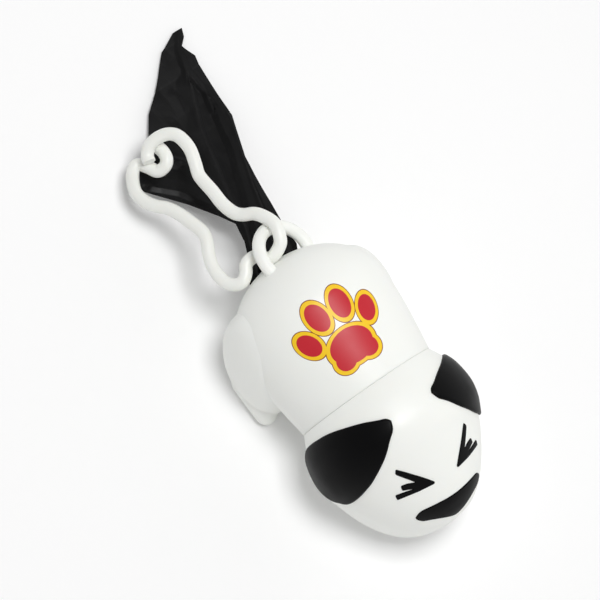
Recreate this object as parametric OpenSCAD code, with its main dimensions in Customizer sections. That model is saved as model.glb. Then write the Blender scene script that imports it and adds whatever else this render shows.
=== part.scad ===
// Pocket dispenser for rolled pet-waste bags, shaped as a crouching puppy.
// Two moulded shells meet at a round seam: the rump half carries the legs and the
// curled tail, the head half plugs on over a spigot. A roll of bags lies loose inside,
// the next bag hangs out under the tail, and a bone-shaped clip is threaded on the tail.
// +Z is up, the face looks along -Y and X = 0 is the plane of symmetry. The origin is
// on the ground, under the middle of the flat on the belly.

/* [Shells] */
// Outer radius of both shells at the seam
seam_r = 21; // [20:0.1:23]
// Largest outer radius of the rump
rump_r = 23.4; // [22.8:0.1:26]
// Distance from the seam to the largest section of the rump
rump_s = 25; // [22:0.5:28]
// Length of the rump shell behind the seam
rear_len = 44.1; // [43:0.1:50]
// Wall of both shells
wall = 1.8; // [1.4:0.1:2]
// How much of the belly is cut flat
belly_cut = 0.6; // [0.3:0.1:1]
// Distance from the seam to the middle of the belly flat
belly_s = 23; // [20:0.5:26]
// Bevel along both rims of the seam
rim_bevel = 0.4; // [0.2:0.1:0.6]

/* [Spigot] */
// Length of the spigot in front of the seam
spigot_len = 6; // [4:0.5:9]
// Wall of the spigot
spigot_wall = 1.5; // [1.2:0.1:1.8]
// Radial gap between the spigot and the head's bore
spigot_gap = 0.05; // [0.02:0.01:0.1]

/* [Outlet] */
// Width of the slot that the bags leave by
outlet_w = 20; // [18.5:0.5:22]
// Height of the slot
outlet_h = 9; // [8:0.5:10]
// How far the slot's middle lies below the shells' axis
outlet_drop = 4; // [3:0.5:5]

/* [Head] */
// Length of the head in front of the seam
head_len = 42.5; // [41:0.5:48]
// Half of the head's width across the cheeks
cheek_r = 25.2; // [24.5:0.1:28]
// Height of the crown above the shells' axis
crown_h = 25.2; // [24.5:0.1:28]
// How far the head's bore runs straight in
bore_len = 16; // [13:0.5:18]
// How far the head is hollow, from the seam
hollow_len = 36.5; // [35:0.5:38]

/* [Face and ears] */
// How far the ears stand proud
ear_h = 0.8; // [0.5:0.1:1.2]
// How far the eyes and nose stand proud
ink_h = 0.25; // [0.2:0.05:0.5]
// How deep every inlay is let into the shell
inlay_depth = 0.4; // [0.2:0.1:0.6]
// Width of the eyes' strokes
eye_stroke = 1.45; // [1.2:0.05:1.7]

/* [Legs] */
// Distance of the thighs' middles from the plane of symmetry
thigh_x = 16.3; // [15.5:0.1:17.5]
// Distance of the thighs' middles behind the seam
thigh_s = 23.5; // [21:0.5:25]
// Half width of a thigh
thigh_w = 9.3; // [8.5:0.1:10.5]
// Half length of a thigh
thigh_l = 13.5; // [12:0.1:15]
// Half height of a thigh
thigh_h = 21; // [18:0.5:22]
// Backward lean of the thighs
thigh_lean = 18; // [8:1:22]
// Radius of a foot at its toes
toe_r = 3.4; // [3:0.1:4]
// Radius of a foot at its heel
heel_r = 4.6; // [4:0.1:5]
// Distance of the feet's middles from the plane of symmetry
foot_x = 21.1; // [20:0.1:22.5]
// Distance from the seam to the tips of the toes
toe_s = 8.4; // [7:0.1:11]

/* [Tail] */
// Diameter of the curled tail
tail_d = 3.7; // [3:0.1:4]
// Half width of the tail's curl
curl_r = 10.15; // [9.8:0.05:11]
// How far the curl reaches out from its middle
curl_out = 7.9; // [7.5:0.1:9]
// Lean of the curl, up towards the puppy's right
curl_lean = 33; // [28:1:36]

/* [Clip] */
// Diameter of the clip's rod
clip_d = 3.7; // [3:0.1:3.8]
// Length of the clip between the middles of its end bends
clip_len = 47.3; // [44:0.1:52]
// Width of the clip between the middles of its side bends
clip_w = 21.3; // [20:0.1:23]
// Droop of the clip from level
clip_droop = 19.8; // [16:0.5:24]
// Roll of the clip, its hook side up
clip_roll = 27.1; // [22:0.5:32]

/* [Roll of bags] */
// Outer radius of a full roll
roll_r = 15.4; // [12:0.1:16]
// Length of the roll
roll_len = 54.5; // [50:0.5:56]
// Outer radius of the roll's core
core_r = 6; // [5.6:0.1:8]
// Wall of the core
core_wall = 1; // [0.8:0.1:1.2]
// Gap under the roll, in which it turns
roll_gap = 0.95; // [0.4:0.05:0.95]
// Room in the head ahead of the roll
front_room = 16; // [14:0.5:18]
// Thickness of the gathered film of the next bag
film_t = 2.6; // [1.6:0.1:3]

/* [Hidden] */

shell_white = [0.92, 0.93, 0.89];
clip_white = [0.93, 0.93, 0.90];
ink_black = [0.05, 0.05, 0.05];
film_black = [0.09, 0.09, 0.10];
core_grey = [0.62, 0.60, 0.56];

rest_gap = 0.3;      // what lies on a wall is drawn this far from it
far = 100;           // longer than anything that it cuts
axis_h = rump_r - belly_cut;
bore_r = seam_r - wall;
spigot_r = bore_r - spigot_gap;
spigot_in_r = spigot_r - spigot_wall;
web_len = 3;         // the spigot's root behind the seam
web_slope = 3;       // length of the slope behind that root
dome_len = rear_len - rump_s;

// ---- places: s runs back from the seam, h up from the shells' axis ----

function at(x, s, h) = [x, s - belly_s, h + axis_h];
module on_axis() translate([0, -belly_s, axis_h]) rotate([-90, 0, 0]) children();
module below_ground() translate([-far, -far, -far]) cube([2 * far, 2 * far, far]);

// Smooth curve through the rows of p, with n steps between two rows
function knot(p, i) = i < 0 ? 2 * p[0] - p[1]
    : i >= len(p) ? 2 * p[len(p) - 1] - p[len(p) - 2] : p[i];
function blend4(a, b, c, d, t) = 0.5 * (2 * b + (c - a) * t
    + (2 * a - 5 * b + 4 * c - d) * t * t + (3 * b - a - 3 * c + d) * t * t * t);
function along(p, k) = let (i = min(floor(k), len(p) - 2))
    blend4(knot(p, i - 1), knot(p, i), knot(p, i + 1), knot(p, i + 2), k - i);
function smooth(p, n) = [for (j = [0:n * (len(p) - 1)]) along(p, j / n)];
function unit(v) = v / norm(v);
function fuller(c, fill) = sign(c) * pow(abs(c), 1 - fill);

// Closed solid over a list of rings with the same number of points
module skin(rings) {
    m = len(rings[0]);
    last = len(rings) - 1;
    points = [for (ring = rings) each ring];
    sides = [for (i = [0:last - 1], j = [0:m - 1])
        let (a = i * m + j, b = i * m + (j + 1) % m)
        each [[a, b, b + m], [a, b + m, a + m]]];
    polyhedron(points, concat(sides, [[for (j = [m - 1:-1:0]) j]],
        [[for (j = [0:m - 1]) last * m + j]]), convexity = 8);
}

// Direction of a path at its point i
function heading(path, i) = unit(path[min(i + 1, len(path) - 1)] - path[max(i - 1, 0)]);

// Round rod along the points from..to of a path; up is a direction that the path never
// follows, and gap is left free at the rod's start
module rod(path, d, up, sides = 10, from = 0, to = -1, gap = 0) {
    skin([for (i = [from:to < 0 ? len(path) - 1 : to])
        let (dir = heading(path, i), side = unit(cross(dir, up)), top = cross(side, dir),
            mid = path[i] + (i == from ? gap : 0) * dir)
        [for (j = [0:sides - 1])
            mid + (d / 2) * (cos(360 * j / sides) * side + sin(360 * j / sides) * top)]]);
}

// ---- rump shell ----

function rump_radius(s) = seam_r + (rump_r - seam_r) * sin(90 * s / rump_s);
rump_side = [for (i = [1:8]) [rump_radius(rump_s * i / 8), rump_s * i / 8]];
function rump_dome(inset) = [for (a = [6:6:84])
    [(rump_r - inset) * cos(a), rump_s + (dome_len - inset) * sin(a)]];

module rump_form() on_axis() rotate_extrude($fn = 96)
    polygon(concat([[0, 0], [seam_r - rim_bevel, 0], [seam_r, rim_bevel]],
        rump_side, rump_dome(0), [[0, rear_len]]));

module rump_hollow() {
    start = web_len + web_slope;
    on_axis() rotate_extrude($fn = 96)
        polygon(concat([[0, -1], [spigot_r, -1], [spigot_r, web_len], [spigot_in_r, web_len],
            [rump_radius(start) - wall, start]],
            [for (p = rump_side) if (p[1] > start) [p[0] - wall, p[1]]],
            rump_dome(wall), [[0, rear_len - wall]]));
}

module outlet_slot() {
    end_r = outlet_h / 2;
    translate(at(0, rump_s, -outlet_drop)) rotate([-90, 0, 0]) linear_extrude(far) {
        square([outlet_w - outlet_h, outlet_h], center = true);
        for (side = [-1, 1])
            translate([side * (outlet_w / 2 - end_r), 0]) circle(end_r, $fn = 48);
    }
}

module rear_shell() color(shell_white) difference() {
    rump_form();
    below_ground();
    rump_hollow();
    outlet_slot();
}

// The spigot fills the rump's counterbore and reaches into the head
module spigot() color(shell_white) on_axis() translate([0, 0, -spigot_len]) difference() {
    cylinder(r = spigot_r, h = spigot_len + web_len, $fn = 96);
    translate([0, 0, -1]) cylinder(r = spigot_in_r, h = far, $fn = 96);
}

// ---- legs: a thigh and a foot on each flank, cemented on ----

thigh_drop = 8.5;    // the thighs' middles lie this far below the shells' axis
thigh_square = 0.13; // how much the thighs fill their corners
heel_s = 22;         // distance of the heels' middles behind the seam
heel_in = 0.6;       // the heels lie this much nearer to the plane of symmetry
heel_sink = 0.4;     // the heels' balls reach this far below the ground, where they are cut

module foot() hull() {
    translate(at(foot_x, toe_s + toe_r, toe_r - axis_h)) sphere(toe_r, $fn = 24);
    translate(at(foot_x - heel_in, heel_s, heel_r - heel_sink - axis_h))
        sphere(heel_r, $fn = 24);
}

module thigh() translate(at(thigh_x, thigh_s, -thigh_drop)) rotate([-thigh_lean, 0, 0])
    skin([for (a = [-84:14:84]) [for (t = [0:15:345])
        [thigh_w * fuller(cos(a), thigh_square) * fuller(cos(t), thigh_square),
            -thigh_l * cos(a) * fuller(sin(t), thigh_square), thigh_h * sin(a)]]]);

module leg() for (piece = [0, 1]) difference() {
    if (piece == 0) thigh();
    if (piece == 1) foot();
    rump_form();
    below_ground();
}

module left_leg() color(shell_white) leg();
module right_leg() color(shell_white) mirror([1, 0, 0]) leg();

// ---- tail: a rod curled into a ring, rooted in the rump, its tip resting on it ----

curl_mid = at(2.3, rear_len + 0.2, 4.6);
curl_side = [-cos(curl_lean), 0, sin(curl_lean)];
curl_under = cross(curl_side, [0, 1, 0]);
curl_root = -30;     // angle at which the curl starts, inside the rump's wall
curl_tip = 198;      // angle at which its cut tip rests on the rump
function curl(a) = curl_mid - curl_r * cos(a) * curl_side + [0, curl_out * sin(a), 0];

module tail_ring() color(shell_white)
    rod([for (a = [curl_root:6:curl_tip]) curl(a)], tail_d, curl_under, 12);

// ---- head ----

// Shares of head_len, cheek_r, axis_h (drop of the widest level), crown_h and axis_h,
// and how much the jowls fill the corners of the lower half
HEAD_FORM = [
    [0.071, 0.893, 0.000, 0.889, 0.960, 0.01],
    [0.169, 0.968, 0.013, 0.952, 0.970, 0.05],
    [0.306, 1.000, 0.035, 1.000, 0.960, 0.12],
    [0.419, 0.976, 0.070, 0.984, 0.925, 0.17],
    [0.518, 0.909, 0.110, 0.925, 0.880, 0.21],
    [0.612, 0.837, 0.149, 0.873, 0.840, 0.25],
    [0.720, 0.734, 0.202, 0.806, 0.780, 0.28],
    [0.833, 0.595, 0.237, 0.706, 0.680, 0.30],
    [0.915, 0.452, 0.246, 0.563, 0.550, 0.30],
    [0.974, 0.266, 0.237, 0.349, 0.350, 0.30],
    [1.000, 0.000, 0.228, 0.000, 0.000, 0.30],
    [0.974, -0.266, 0.237, -0.349, -0.350, 0.30]];
// Rows of distance from the seam, half width, widest level, height over it, depth under it
head_rows = concat([[0, seam_r, 0, seam_r, seam_r, 0]],
    [for (f = HEAD_FORM) [f[0] * head_len, f[1] * cheek_r, -f[2] * axis_h,
        f[3] * crown_h, f[4] * axis_h, f[5]]]);
nose_k = len(HEAD_FORM) - 1;   // row number of the tip of the nose

// A point of the head: k counts the rows, a turns from the crown to the puppy's left
function head_at(k, a) = let (row = along(head_rows, k), upper = abs(a) < 90)
    at(row[1] * (upper ? sin(a) : fuller(sin(a), row[5])), -row[0],
        row[2] + (upper ? row[3] * cos(a) : row[4] * fuller(cos(a), row[5])));
function head_out(k, a) = unit(cross(head_at(k + 0.05, a) - head_at(k - 0.05, a),
    head_at(k, a + 1) - head_at(k, a - 1)));
function grounded(p) = [p[0], p[1], max(p[2], 0)];

module head_shell() color(shell_white) difference() {
    skin([for (k = concat([for (i = [0:2 * nose_k - 2]) i / 2],
        [nose_k - 0.65, nose_k - 0.35, nose_k - 0.1]))
        [for (a = [-180:7.5:172.5]) grounded(head_at(k, a))]]);
    on_axis() rotate([180, 0, 0]) rotate_extrude($fn = 96)
        polygon(concat([[0, -1], [bore_r, -1]],
            [for (a = [0:6:84]) [bore_r * cos(a),
                bore_len + (hollow_len - bore_len) * sin(a)]], [[0, hollow_len]]));
}

// ---- ears, eyes and nose: inlays that follow the head ----

// Row number at a distance in front of the seam
row_of = [for (k = [0:nose_k]) [head_rows[k][0], k]];
function inlay_point(s, a, h) = let (k = lookup(s, row_of)) head_at(k, a) + h * head_out(k, a);

// Inlay over a grid of [distance, angle] cells
module inlay(grid, proud) {
    rows = len(grid);
    cols = len(grid[0]);
    total = rows * cols;
    function foot(i, j) = i * cols + j;
    function face(i, j) = total + foot(i, j);
    points = concat(
        [for (line = grid, c = line) inlay_point(c[0], c[1], -inlay_depth)],
        [for (line = grid, c = line) inlay_point(c[0], c[1], proud)]);
    edge = concat([for (j = [0:cols - 1]) [0, j]], [for (i = [1:rows - 1]) [i, cols - 1]],
        [for (j = [cols - 2:-1:0]) [rows - 1, j]], [for (i = [rows - 2:-1:1]) [i, 0]]);
    faces = concat(
        [for (i = [0:rows - 2], j = [0:cols - 2]) each [
            [foot(i, j), foot(i, j + 1), foot(i + 1, j + 1)],
            [foot(i, j), foot(i + 1, j + 1), foot(i + 1, j)],
            [face(i, j), face(i + 1, j + 1), face(i, j + 1)],
            [face(i, j), face(i + 1, j), face(i + 1, j + 1)]]],
        [for (e = [0:len(edge) - 1])
            let (p = edge[e], q = edge[(e + 1) % len(edge)])
            each [[foot(p[0], p[1]), face(p[0], p[1]), foot(q[0], q[1])],
                [face(p[0], p[1]), face(q[0], q[1]), foot(q[0], q[1])]]]);
    polyhedron(points, faces, convexity = 6);
}

// Rows of angle from the crown, upper edge and lower edge as shares of head_len
EAR_FORM = [
    [16.2, 0.256, 0.266], [18.2, 0.231, 0.313], [23, 0.209, 0.355], [33, 0.165, 0.435],
    [48, 0.120, 0.501], [60, 0.096, 0.527], [72, 0.087, 0.536], [84, 0.085, 0.525],
    [92.5, 0.092, 0.471], [98.5, 0.115, 0.405], [102.5, 0.160, 0.334], [104, 0.212, 0.275]];
module ear(side) inlay([for (f = EAR_FORM) [for (t = side > 0 ? [0:0.25:1] : [1:-0.25:0])
    [head_len * (f[1] + (f[2] - f[1]) * t), side * f[0]]]], ear_h);

module left_ear() color(ink_black) ear(1);
module right_ear() color(ink_black) ear(-1);

// Three strokes of an eye, each from its outer end to the eye's point: shares of head_len
// and angles from the crown
EYE_POINT = [0.728, 13.2];
EYE_STROKES = [[[0.543, 31.2], EYE_POINT], [[0.643, 36.0], EYE_POINT], [[0.675, 44.6], EYE_POINT]];
EYE_PATCH = [[0.50, 0.57, 0.64, 0.71, 0.78], [6, 14, 22, 30, 38, 46, 54]];
full_share = 0.55;   // share of a stroke's run that has its full width
tip_share = 0.2;     // width at the point, in shares of eye_stroke

module stroke(from, to) {
    thin = from + (to - from) * full_share;
    hull() for (p = [from, thin]) translate(p) circle(d = eye_stroke, $fn = 16);
    hull() {
        translate(thin) circle(d = eye_stroke, $fn = 16);
        translate(to) circle(d = eye_stroke * tip_share, $fn = 12);
    }
}

module eye(side) {
    function spot(c) = inlay_point(c[0] * head_len, side * c[1], 0);
    mid = spot([0.64, 28]);
    out = head_out(lookup(0.64 * head_len, row_of), side * 28);
    right = unit(cross([0, 1, 0], out));
    up = cross(out, right);   // right, up and out are a right-handed frame
    function flat(c) = [(spot(c) - mid) * right, (spot(c) - mid) * up];
    intersection() {
        inlay([for (s = EYE_PATCH[0]) [for (i = [0:len(EYE_PATCH[1]) - 1])
            [s * head_len, side * EYE_PATCH[1][side > 0 ? i : len(EYE_PATCH[1]) - 1 - i]]]], ink_h);
        multmatrix([for (i = [0:2]) [right[i], up[i], out[i], mid[i]]])
            linear_extrude(crown_h, center = true)
            for (e = EYE_STROKES) stroke(flat(e[0]), flat(e[1]));
    }
}

module left_eye() color(ink_black) eye(1);
module right_eye() color(ink_black) eye(-1);

// Rows of angle, upper edge and lower edge as shares of head_len
NOSE_FORM = [[50.5, 0.852, 0.868], [48, 0.842, 0.892], [40, 0.833, 0.915], [30, 0.842, 0.941],
    [20, 0.852, 0.960], [10, 0.859, 0.971], [0, 0.861, 0.974]];
nose_rows = concat(NOSE_FORM, [for (i = [len(NOSE_FORM) - 2:-1:0])
    [-NOSE_FORM[i][0], NOSE_FORM[i][1], NOSE_FORM[i][2]]]);
module nose() color(ink_black) inlay([for (f = nose_rows) [for (t = [1:-0.25:0])
    [head_len * (f[1] + (f[2] - f[1]) * t), f[0]]]], ink_h);

// ---- roll of bags, lying on the spigot's bore ----

roll_drop = spigot_in_r - roll_r - roll_gap;
roll_front = front_room - hollow_len;
module roll_place() translate(at(0, roll_front, -roll_drop)) rotate([-90, 0, 0]) children();

module roll_core() color(core_grey) roll_place() difference() {
    cylinder(r = core_r, h = roll_len, $fn = 64);
    translate([0, 0, -1]) cylinder(r = core_r - core_wall, h = roll_len + 2, $fn = 64);
}

module bag_roll() color(film_black) roll_place() difference() {
    cylinder(r = roll_r, h = roll_len, $fn = 96);
    translate([0, 0, -1]) cylinder(r = core_r, h = roll_len + 2, $fn = 64);
}

// ---- next bag: gathered film from the outlet to its drawn-out corner ----

// The film rests on the slot's lower edge
film_exit_h = axis_h - outlet_drop - outlet_h / 2 + rest_gap + film_t / 2;
slot_share = 0.8;    // half width of the film in the slot, in shares of the slot's
film_in_w = (outlet_w / 2 - rest_gap) * slot_share;
// Rows of distance behind the rump, middle, half width, height over ground, share of film_t
FILM_ROWS = [
    [-7, 0, film_in_w, film_exit_h, 1], [0, 0.6, film_in_w + 0.5, film_exit_h, 1],
    [7, 4.7, 7, 13.8, 1.3], [16, 7.1, 6.3, 11, 1.4], [20.5, 6.6, 7.7, 9.5, 1.3],
    [28.5, 4.9, 10.8, 7.1, 1.1], [39.4, 2.5, 16.9, 4.8, 1], [44.4, 5.2, 16, 4, 1],
    [51.1, 9.5, 12.2, 3, 0.9], [61, 14.7, 7.9, 2, 0.8], [68.6, 17.9, 3.8, 1.4, 0.7],
    [73, 23.3, 1.6, 1.1, 0.5]];

module next_bag() color(film_black) skin([for (f = smooth(FILM_ROWS, 2))
    [for (a = [0:30:330]) at(f[1] + f[2] * cos(a), rear_len + f[0],
        max(f[3] - film_t * f[4] / 2 * sin(a), 0) - axis_h)]]);

// ---- clip: a bone bent from one rod, its two ends hooked into each other ----

// Points across and along the clip's plane, in shares of clip_w and clip_len, and their
// height over it; both sides start in the notch under the tail
HOOK_SIDE = [[-0.042, 0.011, -0.5], [0.009, -0.030, -0.5], [0.099, -0.053, -0.3],
    [0.221, -0.051, 0], [0.324, -0.017, 0.4], [0.385, 0.051, 0.9], [0.376, 0.129, 0.9],
    [0.315, 0.205, 0.4], [0.207, 0.254, 0]];
ARM = [[0.131, 0.302, 0], [0.099, 0.389, 0], [0.108, 0.493, 0], [0.117, 0.592, 0],
    [0.141, 0.638, 0.2], [0.211, 0.698, 0.6], [0.277, 0.784, 1.2], [0.277, 0.875, 1.9],
    [0.202, 0.930, 2.3], [0.070, 0.962, 2.4], [-0.080, 0.964, 2.2], [-0.183, 0.932, 1.7],
    [-0.202, 0.890, 1.4], [-0.174, 0.871, 1.3]];
CATCH_SIDE = [[-0.042, 0.011, -0.5], [-0.113, 0.032, -0.3], [-0.225, 0.025, 0],
    [-0.329, -0.015, 0], [-0.427, -0.036, 0], [-0.521, -0.019, 0], [-0.582, 0.040, 0],
    [-0.568, 0.146, 0], [-0.493, 0.233, 0], [-0.399, 0.288, 0], [-0.352, 0.357, 0],
    [-0.376, 0.457, 0], [-0.418, 0.562, 0], [-0.474, 0.630, 0], [-0.563, 0.685, 0],
    [-0.615, 0.757, 0], [-0.598, 0.845, -0.4], [-0.514, 0.912, -1.2], [-0.400, 0.930, -2.1],
    [-0.315, 0.888, -2.6], [-0.221, 0.842, -2.7], [-0.119, 0.830, -2.5],
    [-0.032, 0.858, -2.2], [0.006, 0.902, -2], [0.004, 0.940, -1.9]];
clip_rows = concat([for (i = [len(CATCH_SIDE) - 1:-1:1]) CATCH_SIDE[i]], HOOK_SIDE, ARM);
clip_steps = 2;      // steps between two of these rows
clip_path = smooth([for (p = clip_rows) [p[0] * clip_w, p[1] * clip_len, p[2]]], clip_steps);
flex_i = clip_steps * (len(clip_rows) - len(ARM));   // point of the path where the rod springs
flex_gap = 0.06;     // gap between the frame and the arm there

// The clip hangs with its notch inside the curl
rods_apart = (tail_d + clip_d) / 2;
slack_side = 0.28;   // slack between the two rods across the curl
slack_out = 0.9;     // and outwards
hang_side = curl_r - rods_apart - slack_side;
hang_out = curl_out - rods_apart - slack_out;
hang_under = 2.37;   // how far the clip's plane lies below the curl's middle
clip_turn = 2.3;     // turn of the clip about the vertical
module clip_place() translate(curl_mid + hang_side * curl_side + [0, hang_out, 0]
        + hang_under * curl_under)
    rotate([0, 0, clip_turn]) rotate([-clip_droop, 0, 0]) rotate([0, -clip_roll, 0])
    children();

module clip_frame() color(clip_white) clip_place()
    rod(clip_path, clip_d, [0, 0, 1], to = flex_i);

module clip_arm() color(clip_white) clip_place()
    rod(clip_path, clip_d, [0, 0, 1], from = flex_i, gap = flex_gap);

rear_shell();
spigot();
left_leg();
right_leg();
tail_ring();
head_shell();
left_ear();
right_ear();
left_eye();
right_eye();
nose();
roll_core();
bag_roll();
next_bag();
clip_frame();
clip_arm();
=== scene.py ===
import bpy
import bmesh
import numpy as np
from mathutils import Matrix, Vector
from mathutils.geometry import delaunay_2d_cdt


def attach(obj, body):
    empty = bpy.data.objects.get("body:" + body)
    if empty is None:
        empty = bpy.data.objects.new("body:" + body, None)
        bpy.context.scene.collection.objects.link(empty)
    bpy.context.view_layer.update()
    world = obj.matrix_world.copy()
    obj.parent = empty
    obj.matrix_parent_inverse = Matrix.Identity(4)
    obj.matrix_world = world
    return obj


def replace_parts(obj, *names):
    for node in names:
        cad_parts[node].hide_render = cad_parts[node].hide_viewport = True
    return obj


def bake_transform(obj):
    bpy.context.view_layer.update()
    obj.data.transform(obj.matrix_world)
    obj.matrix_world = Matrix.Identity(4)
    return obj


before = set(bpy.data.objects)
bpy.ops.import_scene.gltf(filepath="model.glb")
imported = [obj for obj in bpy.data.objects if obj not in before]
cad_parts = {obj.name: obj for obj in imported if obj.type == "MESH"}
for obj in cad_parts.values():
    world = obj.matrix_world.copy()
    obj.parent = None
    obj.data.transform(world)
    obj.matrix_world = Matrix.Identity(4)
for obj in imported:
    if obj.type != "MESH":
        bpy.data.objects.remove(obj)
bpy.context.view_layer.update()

# ---- Rear shell ----
# The rump half of the case is one satin white moulding, turned about the case's long axis.
# At the seam a thinner spigot steps in, which the head plugs onto. The belly is flat, and a
# slot with round ends lets the bags out below the tail.
MM = 0.001
SEAM_Y = -23.0
AXIS_Z = 22.8
SEAM_R = 21.0
RUMP_R = 23.4
RUMP_S = 25.0
REAR_LEN = 44.1
WALL = 1.8
SPIGOT_R = 19.15
SPIGOT_WALL = 1.5
SPIGOT_LEN = 6.0
SPIGOT_ROOT = 3.0
SPIGOT_BEVEL = 0.3
SPIGOT_ROUND = 0.2        # on its inner rim
RIM_ROUND = 0.2
SLOT_W = 20.0
SLOT_H = 9.0
SLOT_DROP = 4.0
TURNED_SIDES = 192
DOME_STEPS = 40
SLOT_END_STEPS = 25
SHELL_CREASE = 28         # edges sharper than this many degrees stay crisp


def in_frame(points):
    """Points (x, distance behind the seam, height over the axis) in mm, in the frame's metres."""
    return (np.asarray(points, float) + [0, SEAM_Y, AXIS_Z]) * MM


def shown(name, data):
    """A new object of this data in the scene."""
    piece = bpy.data.objects.new(name, data)
    bpy.context.scene.collection.objects.link(piece)
    return piece


def new_piece(name, verts, faces, sharp=None):
    """A smooth-shaded mesh object with its faces turned outwards."""
    mesh = bpy.data.meshes.new(name)
    mesh.from_pydata([tuple(v) for v in verts], [], [tuple(f) for f in faces])
    bm = bmesh.new()
    bm.from_mesh(mesh)
    bmesh.ops.remove_doubles(bm, verts=bm.verts, dist=1e-7)
    bmesh.ops.recalc_face_normals(bm, faces=bm.faces)
    bm.to_mesh(mesh)
    bm.free()
    mesh.shade_smooth()
    if sharp is not None:
        mesh.set_sharp_from_angle(angle=np.radians(sharp))
    return shown(name, mesh)


def baked(piece):
    """The piece with its modifiers turned into plain mesh."""
    evaluated = piece.evaluated_get(bpy.context.evaluated_depsgraph_get())
    mesh = bpy.data.meshes.new_from_object(evaluated)
    piece.modifiers.clear()
    old = piece.data
    piece.data = mesh
    mesh.name = piece.name
    if old.users == 0:
        bpy.data.meshes.remove(old)
    return piece


def rings_to_faces(rows, columns):
    """Quads between rows of points whose columns close in a loop."""
    i, j = np.meshgrid(np.arange(rows - 1), np.arange(columns), indexing="ij")
    a = i * columns + j
    b = i * columns + (j + 1) % columns
    return np.stack([a, b, b + columns, a + columns], -1).reshape(-1, 4).tolist()


def rump_radius(s):
    """Outer radius of the rump at a distance behind the seam."""
    front = SEAM_R + (RUMP_R - SEAM_R) * np.sin(np.pi / 2 * np.clip(s / RUMP_S, 0, 1))
    dome = np.clip((s - RUMP_S) / (REAR_LEN - RUMP_S), 0, 1)
    return np.where(s < RUMP_S, front, RUMP_R * np.sqrt(1 - dome ** 2))


def rump_profile():
    """(distance behind the seam, radius) from the pole of the dome round to its inner pole."""
    turn = np.linspace(0, np.pi / 2, DOME_STEPS)
    outer_len = REAR_LEN - RUMP_S
    dome = [(RUMP_S + outer_len * np.cos(t), RUMP_R * np.sin(t)) for t in turn]
    side = [(s, float(rump_radius(np.array(s))))
            for s in np.linspace(RUMP_S, RIM_ROUND, DOME_STEPS)[1:]]
    rim = [(RIM_ROUND * (1 - np.sin(t)), SEAM_R - RIM_ROUND * (1 - np.cos(t)))
           for t in np.linspace(0.3, np.pi / 2, 4)]
    inner_r = SPIGOT_R - SPIGOT_WALL
    spigot = [(0, SPIGOT_R), (-SPIGOT_LEN + SPIGOT_BEVEL, SPIGOT_R),
              (-SPIGOT_LEN, SPIGOT_R - SPIGOT_BEVEL), (-SPIGOT_LEN, inner_r + SPIGOT_ROUND),
              (-SPIGOT_LEN + SPIGOT_ROUND, inner_r), (SPIGOT_ROOT, inner_r)]
    inside = [(s, float(rump_radius(np.array(s))) - WALL)
              for s in np.linspace(2 * SPIGOT_ROOT, RUMP_S, 20)]
    cavity = [(RUMP_S + (outer_len - WALL) * np.sin(t), (RUMP_R - WALL) * np.cos(t))
              for t in turn[1:]]
    return dome + side + rim + spigot + inside + cavity


def turned(profile, sides=TURNED_SIDES):
    """Points of a profile (distance behind the seam, radius) turned about the case's axis."""
    angle = np.linspace(0, 2 * np.pi, sides, endpoint=False)
    rows = [np.stack([r * np.sin(angle), np.full(sides, s), r * np.cos(angle)], -1)
            for s, r in profile]
    return np.concatenate(rows)


def resting(points):
    """Points in the frame with none below the ground that the case rests on."""
    points = points.copy()
    points[:, 2] = np.maximum(points[:, 2], 0)
    return points


profile = rump_profile()
rear = new_piece("rear_case", resting(in_frame(turned(profile))),
                 rings_to_faces(len(profile), TURNED_SIDES))

end_r = SLOT_H / 2
half_run = SLOT_W / 2 - end_r
outline = [(side * half_run + end_r * np.sin(t), end_r * np.cos(t))
           for side, first in ((1, 0), (-1, np.pi))
           for t in np.linspace(first, first + np.pi, SLOT_END_STEPS)]
cut = [(x, s, h - SLOT_DROP) for s in (RUMP_S, RUMP_S + REAR_LEN) for x, h in outline]
cutter = new_piece("slot_cutter", in_frame(cut), rings_to_faces(2, len(outline))
                   + [list(range(len(outline))), list(range(len(outline), 2 * len(outline)))])
slot_cut = rear.modifiers.new("slot", "BOOLEAN")
slot_cut.operation = "DIFFERENCE"
slot_cut.object = cutter
baked(rear)
bpy.data.objects.remove(cutter)
rear.data.shade_smooth()
rear.data.set_sharp_from_angle(angle=np.radians(SHELL_CREASE))

PRINT_S = 17.3            # middle of the print behind the seam
PRINT_TURN = -8.5         # its turn from the crown, in degrees
PRINT_R = 23.1
PRINT_EDGE = 1.05         # width of the yellow edge
PRINT_LINE = 0.22         # width of the dark line round it
INK_EDGE = 14.0           # how fast the ink fades in at its edge, as a share per mm
# Middle, half widths and turn of each pad of the paw print, in mm and degrees
PADS = [((0.0, -5.6), (6.6, 4.8), 0), ((-3.6, -8.1), (3.3, 2.8), 20),
        ((3.6, -8.1), (3.3, 2.8), -20), ((-9.8, 0.7), (2.7, 3.8), 28), ((-3.7, 5.6), (2.9, 4.3), 8),
        ((3.7, 5.6), (2.9, 4.3), -8), ((9.8, 0.7), (2.7, 3.8), -28)]


def linear(r, g, b):
    """A colour as seen on the screen, 0 to 255, in the shader's linear values."""
    c = np.array([r, g, b]) / 255
    low = c / 12.92
    high = ((c + 0.055) / 1.055) ** 2.4
    return (*np.where(c <= 0.04045, low, high), 1.0)


def add(tree, kind, settings=None, links=None, **inputs):
    """A node with its settings, its inputs by name and the sockets that feed it."""
    node = tree.nodes.new(kind)
    for key, value in (settings or {}).items():
        setattr(node, key, value)
    for key, value in inputs.items():
        node.inputs[key.replace("_", " ")].default_value = value
    for key, socket in (links or {}).items():
        tree.links.new(socket, node.inputs[key])
    return node


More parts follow.
